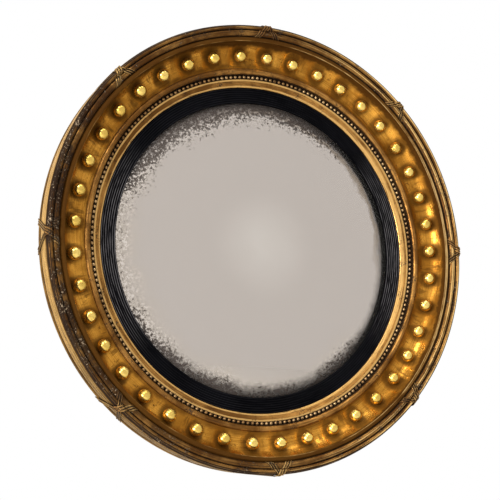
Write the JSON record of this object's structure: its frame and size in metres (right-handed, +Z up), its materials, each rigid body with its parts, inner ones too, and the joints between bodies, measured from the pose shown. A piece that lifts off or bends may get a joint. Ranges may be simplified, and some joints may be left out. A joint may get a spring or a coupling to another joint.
{
  "type": "convex wall mirror",
  "caption": "Round convex wall mirror in a deep gilt frame with reeded rim, crossed ribbon ties, a ring of balls in the hollow, a pearl border and an ebonised slip.",
  "frame": {"origin": "on the mirror's axis, in the plane of the wall that it hangs on", "axes": "+Y into the wall along the mirror's axis (the glass faces -Y), +Z up, +X to the viewer's right"},
  "size_m": [0.6134, 0.0753, 0.6134],
  "materials": {
    "gilt_reeds": "worn water gilding over red-brown bole",
    "gilt_hollow": "burnished water gilding",
    "gilt_sight": "matt oil gilding",
    "gilt_pearls": "gilt composition",
    "gilt_ribbon": "worn gilt composition",
    "gilt_burnished": "brightly burnished water gilding",
    "ebony_black": "ebonised, satin",
    "clear_glass": "polished",
    "silver_layer": "foxed silvering",
    "bare_pine": "aged bare pine",
    "bare_board": "aged bare board",
    "brass": "aged brass",
    "steel": "dull steel",
    "cork": "cork"
  },
  "bodies": {
    "frame": {"reeded_ring": "gilt_reeds", "hollow_ring": "gilt_hollow", "sight_ring": "gilt_sight", "back_ring": "bare_pine", "ball_01": "gilt_burnished", "ball_02": "gilt_burnished", "ball_03": "gilt_burnished", "ball_04": "gilt_burnished", "ball_05": "gilt_burnished", "ball_06": "gilt_burnished", "ball_07": "gilt_burnished", "ball_08": "gilt_burnished", "ball_09": "gilt_burnished", "ball_10": "gilt_burnished", "ball_11": "gilt_burnished", "ball_12": "gilt_burnished", "ball_13": "gilt_burnished", "ball_14": "gilt_burnished", "ball_15": "gilt_burnished", "ball_16": "gilt_burnished", "ball_17": "gilt_burnished", "ball_18": "gilt_burnished", "ball_19": "gilt_burnished", "ball_20": "gilt_burnished", "ball_21": "gilt_burnished", "ball_22": "gilt_burnished", "ball_23": "gilt_burnished", "ball_24": "gilt_burnished", "ball_25": "gilt_burnished", "ball_26": "gilt_burnished", "ball_27": "gilt_burnished", "ball_28": "gilt_burnished", "ball_29": "gilt_burnished", "ball_30": "gilt_burnished", "ball_31": "gilt_burnished", "ball_32": "gilt_burnished", "ball_33": "gilt_burnished", "ball_34": "gilt_burnished", "ball_35": "gilt_burnished", "ball_36": "gilt_burnished", "ball_37": "gilt_burnished", "ball_38": "gilt_burnished", "ball_39": "gilt_burnished", "ball_40": "gilt_burnished", "ball_41": "gilt_burnished", "pearl_string": "gilt_pearls", "ribbon_ties": "gilt_ribbon", "ebonised_slip": "ebony_black", "mirror_glass": "clear_glass", "silvering": "silver_layer", "glazing_blocks": "bare_pine", "back_board": "bare_board", "back_board_screws": "steel", "frame_screws": "steel", "hanger_plate_left": "brass", "hanger_plate_right": "brass", "hanger_screws": "steel", "wall_pads": "cork"},
    "left_ring": {"d_ring_left": "brass"},
    "right_ring": {"d_ring_right": "brass"}
  },
  "joints": [
    {"name": "left_ring_swing", "type": "hinge", "parent": "frame", "child": "left_ring", "pos_m": [-0.21443, -0.0037, 0.16464], "axis": [1, 0, 0], "range_deg": [0, 180]},
    {"name": "right_ring_swing", "type": "hinge", "parent": "frame", "child": "right_ring", "pos_m": [0.21443, -0.0037, 0.16464], "axis": [1, 0, 0], "range_deg": [0, 180]}
  ]
}
